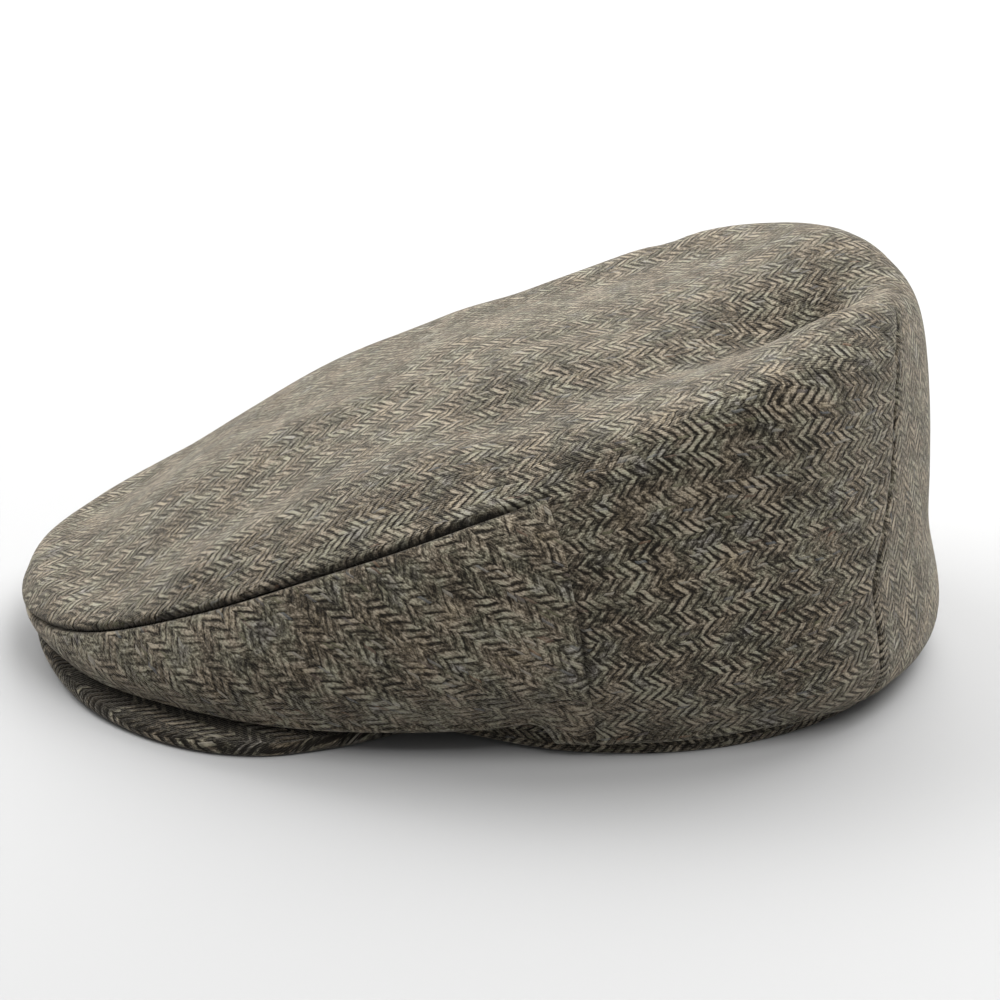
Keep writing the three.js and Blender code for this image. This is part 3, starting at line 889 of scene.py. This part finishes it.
# Head band
# A narrow band of folded tweed round the head opening, sewn inside the hem. It stands on the table at
# the back and lifts a little at the temples.
BAND_WALL = 2.0
BAND_HEIGHT = 18.0
BAND_LIFT = 2.6
BAND_LIFT_TURN = 84.0
BAND_LIFT_REACH = 26.0
BAND_COLUMNS = 360
BAND_ROWS = 10
BAND_EDGE_STEPS = 4
band_turns = np.linspace(-180, 180, BAND_COLUMNS, endpoint=False)[:, None]
lift_share = np.minimum(1, np.abs((np.abs(band_turns) - BAND_LIFT_TURN) / BAND_LIFT_REACH))
band_foot = BAND_LIFT * (0.5 + 0.5 * np.cos(np.pi * lift_share))
fold = np.linspace(0, np.pi, BAND_EDGE_STEPS + 1)
rise = np.linspace(0, 1, BAND_ROWS + 1)[1:-1]
half_wall = BAND_WALL / 2
fold_out, fold_in = half_wall * (1 + np.cos(fold)), half_wall * (1 - np.cos(fold))
band_out = np.concatenate([np.full(len(rise), BAND_WALL), fold_out, 0 * rise, fold_in])
band_share = np.concatenate([rise, np.ones(len(fold)), rise[::-1], np.zeros(len(fold))])
band_round = np.concatenate([0 * rise, np.sin(fold), 0 * rise, -np.sin(fold)]) * half_wall
band_low, band_high = band_foot + half_wall, BAND_HEIGHT - half_wall
band_z = band_low + (band_high - band_low) * band_share + band_round
band_points = on_turn(band_turns, oval_radius(band_turns, 0) + band_out, band_z)
band_ids = np.arange(band_points.shape[0] * band_points.shape[1]).reshape(band_points.shape[:2])
next_column, next_row = np.roll(band_ids, -1, 0), np.roll(band_ids, -1, 1)
next_both = np.roll(next_column, -1, 1)
band_faces = np.stack([band_ids, next_column, next_both, next_row], -1).reshape(-1, 4).tolist()
girth = np.linalg.norm(np.diff(band_points[:, 0], axis=0, append=band_points[:1, 0]), axis=-1).cumsum()
climb = np.linalg.norm(np.diff(band_points[0], axis=0, append=band_points[0, :1]), axis=-1).cumsum()
girth, climb = np.insert(girth, 0, 0), np.insert(climb, 0, 0)
face_column, face_row = np.divmod(np.arange(band_ids.size), band_ids.shape[1])
band_coords = np.stack([np.stack([girth[face_column + a], climb[face_row + b]], -1)
                        for a, b in ((0, 0), (1, 0), (1, 1), (0, 1))], 1).reshape(-1, 2) * MM
band = cloth_piece("head_band_cloth", band_points.reshape(-1, 3), band_faces, band_coords)
# Painted shade: the band's tweed is set darker than the crown's, for the shade it lies in under the hem.
band.data.materials.append(tweed("shaded_band_tweed", ground=0.3, contrast=1.4, lean=0.0))
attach(band, "root")
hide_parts("head_band")

# Stage
# A plain pale floor under soft light from above and a little behind, and a camera level with the
# wearer's left side, looking down on the cap.
FLOOR_HALF = 12.0
FLOOR_Z = -0.0001               # a hair below the cap's feet
FLOOR_CORNERS = ((-1, -1), (1, -1), (1, 1), (-1, 1))
FLOOR_GREY = (0.44, 0.44, 0.44, 1)
FLOOR_ROUGHNESS = 0.8
floor_mesh = bpy.data.meshes.new("floor")
floor_points = [(x * FLOOR_HALF, y * FLOOR_HALF, FLOOR_Z) for x, y in FLOOR_CORNERS]
floor_mesh.from_pydata(floor_points, [], [(0, 1, 2, 3)])
floor = bpy.data.objects.new("floor", floor_mesh)
bpy.context.scene.collection.objects.link(floor)
floor_paint = bpy.data.materials.new("pale_floor")
floor_paint.use_nodes = True
floor_shader = floor_paint.node_tree.nodes["Principled BSDF"]
floor_shader.inputs["Base Color"].default_value = FLOOR_GREY
floor_shader.inputs["Roughness"].default_value = FLOOR_ROUGHNESS
floor_mesh.materials.append(floor_paint)

WORLD_STRENGTH = 0.31
world = bpy.data.worlds.new("studio")
world.use_nodes = True
world.node_tree.nodes["Background"].inputs["Color"].default_value = (1, 1, 1, 1)
world.node_tree.nodes["Background"].inputs["Strength"].default_value = WORLD_STRENGTH
bpy.context.scene.world = world


def aim(item, target):
    item.rotation_euler = (target - item.location).to_track_quat("-Z", "Y").to_euler()


LIGHT_TARGET = Vector((0, 0, 0.05))
LIGHTS = (                      # name, place, size, power
    ("overhead", (-0.9, 0.55, 1.05), 1.6, 36.0),
    ("front", (-0.6, -0.9, 1.0), 1.2, 20.0),
    ("side", (0.62, 0.55, 1.5), 0.9, 16.0),
)
for light_name, light_place, light_size, light_power in LIGHTS:
    lamp = bpy.data.lights.new(light_name, "AREA")
    lamp.size = light_size
    lamp.energy = light_power
    light = bpy.data.objects.new(light_name, lamp)
    bpy.context.scene.collection.objects.link(light)
    light.location = light_place
    aim(light, LIGHT_TARGET)

CAMERA_TURN = math.radians(90)
CAMERA_RISE = math.radians(23)
CAMERA_DISTANCE = 1.0
PIXELS_PER_METRE = 3300.0
CAP_MIDDLE = Vector((0, 0, 0.055))
MIDDLE_PIXEL = (482, 459)       # where the cap's middle lies in the picture
PICTURE_SIZE = 1000
SENSOR = 36.0
camera_back = Vector((math.sin(CAMERA_TURN) * math.cos(CAMERA_RISE),
                         -math.cos(CAMERA_TURN) * math.cos(CAMERA_RISE), math.sin(CAMERA_RISE)))
picture_right = Vector((math.cos(CAMERA_TURN), math.sin(CAMERA_TURN), 0))
picture_up = camera_back.cross(picture_right)
aim_right, aim_down = ((PICTURE_SIZE / 2 - pixel) / PIXELS_PER_METRE for pixel in MIDDLE_PIXEL)
aim_point = CAP_MIDDLE + picture_right * aim_right - picture_up * aim_down
lens = bpy.data.cameras.new("camera")
lens.sensor_width = SENSOR
lens.lens = SENSOR * PIXELS_PER_METRE * CAMERA_DISTANCE / PICTURE_SIZE
camera = bpy.data.objects.new("camera", lens)
bpy.context.scene.collection.objects.link(camera)
camera.location = aim_point + camera_back * CAMERA_DISTANCE
aim(camera, aim_point)
bpy.context.scene.camera = camera
bpy.context.scene.view_settings.view_transform = "Standard"

bpy.context.view_layer.update()
